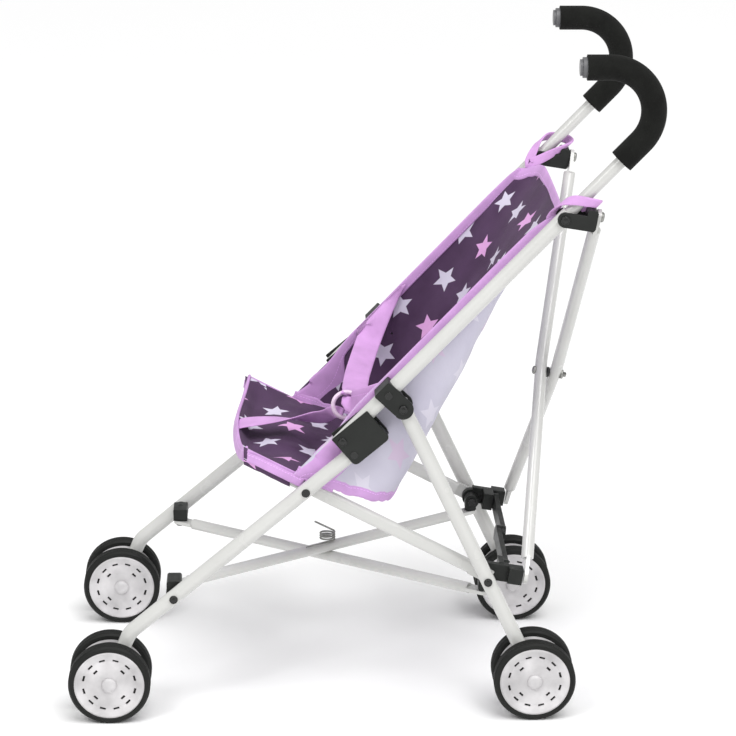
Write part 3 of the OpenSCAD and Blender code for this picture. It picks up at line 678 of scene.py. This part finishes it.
def sleeve(side, sign):
    """The base's cloth wrapped around the front of a seat bar, with tape along its upper half."""
    ys = np.linspace(BAR_FRONT - 0.0022, -0.056, 26)
    verts, coords = [], []
    around = 20
    for y in ys:
        for k in range(around):
            a = 2 * math.pi * k / around
            c, h = math.cos(a), math.sin(a)
            p = np.array([sign * BAR_X + SLEEVE_W / 2 * math.copysign(abs(c) ** 0.75, c), y,
                          bar_axis(y) + SLEEVE_H / 2 * h])
            p[2] += ripple(p, 120.0, 0.0006)
            verts.append(p)
            coords.append((y, 0.008 * a, 0))
    faces = [tuple(reversed(f)) for f in rings(around, len(ys))]
    piece(f"bar_sleeve_{side}", verts, faces, (PRINT,), None, coords, f"{side}_seat_bar")
    outer = sign * (BAR_X + BAR_HALF + 0.0014)
    route = [(outer - sign * 0.0035, BAR_FRONT - 0.0030, bar_axis(BAR_FRONT) + 0.0010),
             (outer, BAR_FRONT + 0.004, bar_axis(BAR_FRONT + 0.004) + 0.0020)]
    route += [(outer, y, bar_axis(y) + 0.0024) for y in (-0.080, -0.066, -0.054, -0.046)]
    band(f"bar_tape_{side}", spline(route, 30), (0, -0.46 * BAR_SLOPE, 1), TAPE_W, THIN_TAPE, (TAPE,),
         f"{side}_seat_bar")


for side, sign in (("right", -1), ("left", 1)):
    sleeve(side, sign)
for name, edge, shift, width, thick in (
        ("far_edge_tape", base[:30, 0], (0.0006, 0, -0.0032), 0.0075, 0.0022),
        ("near_edge_tape", base[:46, -1], (0.0008, 0, -0.0040), 0.0098, 0.0020)):
    path = edge + np.array(shift)
    gathers(band(name, path, (0, 0, 1), width, thick, (TAPE,), "left_seat_bar"))


# ---- straps ------------------------------------------------------------------------------------------

STRAP_W = 0.021
STRAP_T = 0.0015
FOLDED_T = 0.0032                  # thickness of the near part, which is folded double through the ring
AT_RING = 0.013                    # width of the lap strap's parts where they gather in the ring
INTO_SEAT = unit(np.array([-0.957, 0.030, -0.289]))
ring_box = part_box("ring")
RING_AT = (np.array(ring_box[0]) + np.array(ring_box[1])) / 2


def facing(path):
    """Width direction that turns a strap's flat side towards the seat's open left side."""
    return np.cross(unit(np.gradient(path, axis=0)), INTO_SEAT)


# From the far side's edge, where its end is cut off along the edge, down to the ring
far_path = spline([seat_at(-0.0962, 0.0885, -0.0160), seat_at(-0.0956, 0.0700, -0.0098),
                   seat_at(-0.0860, 0.052, -0.004), seat_at(-0.070, 0.0354, 0.0012),
                   seat_at(-0.010, 0.0247, -0.0015), seat_at(0.030, 0.0205, -0.0032),
                   RING_AT + np.array([-0.006, 0.0035, 0.0075])], 46)
far_w = np.interp(np.linspace(0, 1, len(far_path)), [0, 0.86, 1], [STRAP_W, STRAP_W, AT_RING])
sewn = (seat_at(-WALL_X, 0.07, rise(0.07) - 0.0004), np.array([0.0, *UNDER]))
flat_on = np.linspace(1, -1.2, len(far_path)).clip(0, 1)[:, None]
on_wall = np.cross(unit(np.gradient(far_path, axis=0)), (-1, 0, 0))
far_across = facing(far_path) * (1 - flat_on) + on_wall * flat_on
far_strap = band("far_strap", far_path, far_across, far_w, STRAP_T, (WEB,), "left_pusher", cut=sewn)
gathers(far_strap)
near_path = spline([RING_AT + np.array([0.002, 0.0030, 0.0072]), seat_at(0.060, 0.0165, -0.0035),
                    seat_at(0.080, 0.0299, -0.0014), seat_at(0.0965, 0.046, 0.0016)], 30)
near_w = np.interp(np.linspace(0, 1, len(near_path)), [0, 0.22, 1], [AT_RING, STRAP_W, STRAP_W])
gathers(band("near_strap", near_path, facing(near_path), near_w, FOLDED_T, (FOLDED,), "left_pusher"))
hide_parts("lap_strap")

front_mid = base[0, base.shape[1] // 2]
crotch_from, crotch_to = front_mid + [0, 0.0050, 0.0014], seat_at(0.020, -0.0199, -0.0052)
crotch_path = spline([front_mid + [0, 0.0004, -0.0026], crotch_from,
                      crotch_from * 0.62 + crotch_to * 0.38 + [0, 0, 0.0006], crotch_to,
                      seat_at(0.045, -0.0020, -0.0048), RING_AT + np.array([-0.001, -0.0030, -0.0078])], 56)
turn = np.linspace(0, 1, len(crotch_path))
crotch_w = np.interp(turn, [0, 0.35, 0.8, 1], [0.026, 0.025, 0.012, 0.009])
turn = turn[:, None]
crotch_across = np.array([[1.0, 0, 0]]) * (1 - turn) + facing(crotch_path) * turn ** 2
crotch_strap = band("crotch_web", crotch_path, crotch_across, crotch_w, STRAP_T, (WEB,), "left_seat_bar")
gathers(crotch_strap)
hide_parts("crotch_strap")


# ---- moulded parts with rounded edges, and small fasteners -------------------------------------------

SHARP = math.radians(50)           # edges that turn less than this stay as they are


def body_of(node_name):
    bodies = frame["record"]["behaviour"]["bodies"]
    return next(body for body, nodes in bodies.items() if node_name in nodes)


def rounded(node_name, big, small):
    """A copy of a moulded part with rounded edges, shown in place of the plain one: big is the radius of
    the long edges that run across the stroller, small the radius of all edges that are left."""
    source = NODES[node_name]
    mesh = source.data.copy()
    shape = bmesh.new()
    shape.from_mesh(mesh)
    bmesh.ops.remove_doubles(shape, verts=shape.verts, dist=0.00002)
    bmesh.ops.dissolve_limit(shape, angle_limit=math.radians(2), verts=shape.verts, edges=shape.edges)
    for radius, shortest, steps, across in ((big, 0.0030, 5, True), (small, 0.0012, 3, False)):
        chosen = []
        for e in shape.edges:
            if len(e.link_faces) != 2 or not e.is_convex or e.calc_face_angle(0) < SHARP:
                continue
            run = e.verts[1].co - e.verts[0].co
            if run.length > shortest and (abs(run.normalized().x) > 0.98 or not across):
                chosen.append(e)
        bmesh.ops.bevel(shape, geom=chosen, offset=radius, segments=steps, profile=0.5, affect="EDGES",
                        clamp_overlap=across)
    bmesh.ops.triangulate(shape, faces=shape.faces)
    shape.to_mesh(mesh)
    shape.free()
    made = bpy.data.objects.new(f"moulded_{node_name}", mesh)
    bpy.context.scene.collection.objects.link(made)
    made.matrix_world = source.matrix_world
    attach(made, body_of(node_name))
    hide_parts(node_name)


ROUNDING = {"knuckle": (0.0042, 0.0008), "upper_bracket": (0.0034, 0.0008), "top_link": (0.0026, 0.0006),
            "foot_link": (0.0024, 0.0006), "lock_arm": (0.0010, 0.0005), "heel_block": (0.0020, 0.0006),
            "toe_block": (0.0036, 0.0007)}
for kind, (big, small) in ROUNDING.items():
    for side in ("left", "right"):
        rounded(f"{kind}_{side}", big, small)


def turned(name, profile, at, axis, mat, body):
    """A turned piece: profile lists (radius, height) from at along axis, which is never upright."""
    axis = unit(axis)
    u = unit(np.cross(axis, (0, 0, 1)))
    v = np.cross(axis, u)
    steps = 28
    angles = [2 * math.pi * k / steps for k in range(steps)]
    verts = [np.asarray(at) + axis * h + r * (math.cos(a) * u + math.sin(a) * v)
             for r, h in profile for a in angles]
    return piece(name, verts, rings(steps, len(profile)), (mat,), None, None, body)


# Slots of a wheel cover: how many, the first one's angle, inner and outer radius, half length, depth
SLOTS = [(12, 15, 0.0201, 0.0220, 0.00245, 0.0030), (4, 45, 0.0143, 0.0163, 0.00205, 0.0026)]


def painted_slot_shade(name, centre, away, body):
    """Black plates inside the slots of one wheel cover, painted shade standing in for the dark hollow behind them;
    away is the way that its face looks along x.
    """
    box = [(0, 1, 2, 3), (7, 6, 5, 4), (0, 4, 5, 1), (1, 5, 6, 2), (2, 6, 7, 3), (3, 7, 4, 0)]
    verts, faces = [], []
    for count, first, near, far, half, deep in SLOTS:
        for i in range(count):
            a = math.radians(first + 360 / count * i)
            out, along = np.array([0, -math.sin(a), math.cos(a)]), np.array([0, math.cos(a), math.sin(a)])
            at = len(verts)
            corners = ((near, -half), (near, half), (far, half), (far, -half))
            verts += [centre + r * out + w * along - np.array([away * x, 0, 0])
                      for x in (deep, deep + 0.0008) for r, w in corners]
            faces += [tuple(at + k for k in (face if away > 0 else reversed(face))) for face in box]
    piece(name, verts, faces, (RIVET,), None, None, body)


# Domed caps over the axle ends, and black plates behind the slots of each wheel cover as painted shade of the
# hollow behind them
for end in ("front", "rear"):
    for side, sign in (("left", 1), ("right", -1)):
        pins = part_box(f"{end}_pins_{side}")
        for out, away in (("outer", sign), ("inner", -sign)):
            cover = f"hub_{end}_{side}_{out}"
            low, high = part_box(cover)
            face = high[0] if away > 0 else low[0]
            centre = np.array([face, (low[1] + high[1]) / 2, (low[2] + high[2]) / 2])
            axle_end = pins[1][0] - face if away > 0 else face - pins[0][0]
            tall = min(max(axle_end, 0.0014), 0.0030)
            cap = [(0.0062, -0.0012), (0.0060, 0.0004), (0.0055, tall * 0.55), (0.0047, tall + 0.0002),
                   (0.0030, tall + 0.0006), (0.0012, tall + 0.0008)]
            turned(f"axle_cap_{end}_{side}_{out}", cap, centre, (away, 0, 0), HUB, body_of(cover))
            painted_slot_shade(f"slot_floors_{end}_{side}_{out}", centre, away, body_of(cover))

# Domed heads of the rivets on both faces of each side frame: kind, place, body, how far the head stands
# from the middle of the frame, and its radius
PLATE = 0.0091
LEG_FACE = 0.0070
HEADS = [("upper", KNUCKLE, "front_leg", PLATE, 0.0036),
         ("upper", TOP_PIN, "pusher", PLATE + 0.0006, 0.0036),
         ("upper", REAR_TOP, "pusher", PLATE + 0.0007, 0.0036),
         ("front", TOE_PIN, "front_leg", LEG_FACE, 0.0033),
         ("rear", HEEL_PIN, "rear_leg", LEG_FACE, 0.0033)]


def dome(name, at, axis, radius, body):
    """The low domed head of a rivet, with a rolled rim."""
    shape = [(radius, -0.0005), (radius, 0.0003), (radius * 0.93, 0.0007), (radius * 0.80, 0.0008),
             (radius * 0.72, 0.0005), (radius * 0.5, 0.0008), (radius * 0.2, 0.0010)]
    turned(name, shape, at, axis, RIVET, body)


for side, sign in (("left", 1), ("right", -1)):
    for kind, at, body, face, radius in HEADS:
        place = f"{kind}_{int(round(at[0] * 1000))}_{int(round(at[1] * 1000))}".replace("-", "m")
        for way, away in (("out", sign), ("in", -sign)):
            dome(f"rivet_{place}_{side}_{way}", (sign * SIDE_X + away * face, *at), (away, 0, 0), radius,
                 f"{side}_{body}")

# Zinc plated bolts of the rear brace: one through the crossing of its bars and one behind each top link
LOW_BOLT = pivot("lock_arm_left")[1:]
TOP_BOLT = pivot("back_bar_left")
BRACE_OUT = unit(JOINT["back_bar_left"]["axis"])
low_bolt = np.array([-(SIDE_X - 0.013), *LOW_BOLT])
low_bolt = low_bolt - BRACE_OUT * ((low_bolt - TOP_BOLT) @ BRACE_OUT)
crossing = TOP_BOLT + (low_bolt - TOP_BOLT) * TOP_BOLT[0] / (TOP_BOLT[0] - low_bolt[0])
BARS_OUT = 0.0108                  # from the crossing to the outer face of either bar
head = [(0.0034, -0.0006), (0.0034, 0.0009), (0.0027, 0.0019), (0.0012, 0.0024)]
washer = [(0.0040, -0.0010), (0.0043, -0.0006), (0.0043, 0.0006), (0.0040, 0.0010)]
nut = [(0.0038, -0.0006), (0.0038, 0.0018), (0.0021, 0.0020), (0.0020, 0.0042), (0.0014, 0.0046)]
turned("crossing_head", head, crossing - BRACE_OUT * BARS_OUT, -BRACE_OUT, STEEL, "left_back_bar")
turned("crossing_washer", washer, crossing, BRACE_OUT, RIVET, "left_back_bar")
turned("crossing_end", nut, crossing + BRACE_OUT * BARS_OUT, BRACE_OUT, STEEL, "left_back_bar")
cap = [(0.0040, -0.0016), (0.0040, 0.0004), (0.0033, 0.0012), (0.0015, 0.0016)]
for side, sign in (("left", 1), ("right", -1)):
    at = np.array([sign * TOP_BOLT[0], *TOP_BOLT[1:]]) + BRACE_OUT * 0.0029
    turned(f"top_bolt_{side}", cap, at, BRACE_OUT, STEEL, f"{side}_top_link")


# ---- stage, lights, camera ---------------------------------------------------------------------------

FLOOR_HALF = 14.0


def stage_floor():
    corners = [(x * FLOOR_HALF, y * FLOOR_HALF, 0) for x, y in ((-1, -1), (1, -1), (1, 1), (-1, 1))]
    mesh = bpy.data.meshes.new("floor")
    mesh.from_pydata(corners, [], [(0, 1, 2, 3)])
    mesh.materials.append(floor_paint())
    made = bpy.data.objects.new("floor", mesh)
    bpy.context.scene.collection.objects.link(made)
    made.location.z = CAD_BOX[0][2] - 0.0002


def softbox(name, at, towards, size, watts):
    data = bpy.data.lights.new(name, "AREA")
    data.shape = "RECTANGLE"
    data.size, data.size_y = size
    data.energy = watts
    made = bpy.data.objects.new(name, data)
    bpy.context.scene.collection.objects.link(made)
    made.location = at
    made.rotation_mode = "QUATERNION"
    made.rotation_quaternion = (Vector(towards) - Vector(at)).to_track_quat("-Z", "Y")


stage_floor()
softbox("key", at=(1.6, -1.3, 2.2), towards=(0, 0, 0.25), size=(0.9, 0.9), watts=22)
softbox("strip", at=(1.9, 0.9, 1.9), towards=(0, 0, 0.3), size=(0.35, 1.8), watts=10)
sky = bpy.data.lights.new("sky", "SUN")
sky.energy = 1.7
sky.angle = math.radians(48)
sky_at = bpy.data.objects.new("sky", sky)
bpy.context.scene.collection.objects.link(sky_at)
sky_at.rotation_euler = (math.radians(-14), math.radians(20), 0)
world = bpy.data.worlds.new("studio")
world.use_nodes = True
backdrop = world.node_tree.nodes["Background"]
backdrop.inputs["Color"].default_value = (1, 1, 1, 1)
backdrop.inputs["Strength"].default_value = 0.52
bpy.context.scene.world = world
bpy.context.scene.view_settings.view_transform = "Standard"

# The camera's place, angles and lens come from a pinhole fit to the object's own symmetric points
PITCH, YAW, ROLL = (math.radians(a) for a in (16.638, 2.020, 0.3365))
CAMERA_AT = (2.3369, -0.0730, 0.9574)
forward = Vector((-math.cos(PITCH) * math.cos(YAW), math.cos(PITCH) * math.sin(YAW), -math.sin(PITCH)))
level = forward.cross(Vector((0, 0, 1))).normalized()
upright = level.cross(forward)
right = math.cos(ROLL) * level + math.sin(ROLL) * upright
upward = -math.sin(ROLL) * level + math.cos(ROLL) * upright
camera = bpy.data.objects.new("camera", bpy.data.cameras.new("camera"))
bpy.context.scene.collection.objects.link(camera)
basis = camera.matrix_world.copy()
for i, axis in enumerate((right, upward, -forward)):
    for k in range(3):
        basis[k][i] = axis[k]
basis.translation = Vector(CAMERA_AT)
camera.matrix_world = basis
camera.data.sensor_width = 36
camera.data.lens = 144.96
camera.data.clip_end = 60
bpy.context.scene.camera = camera
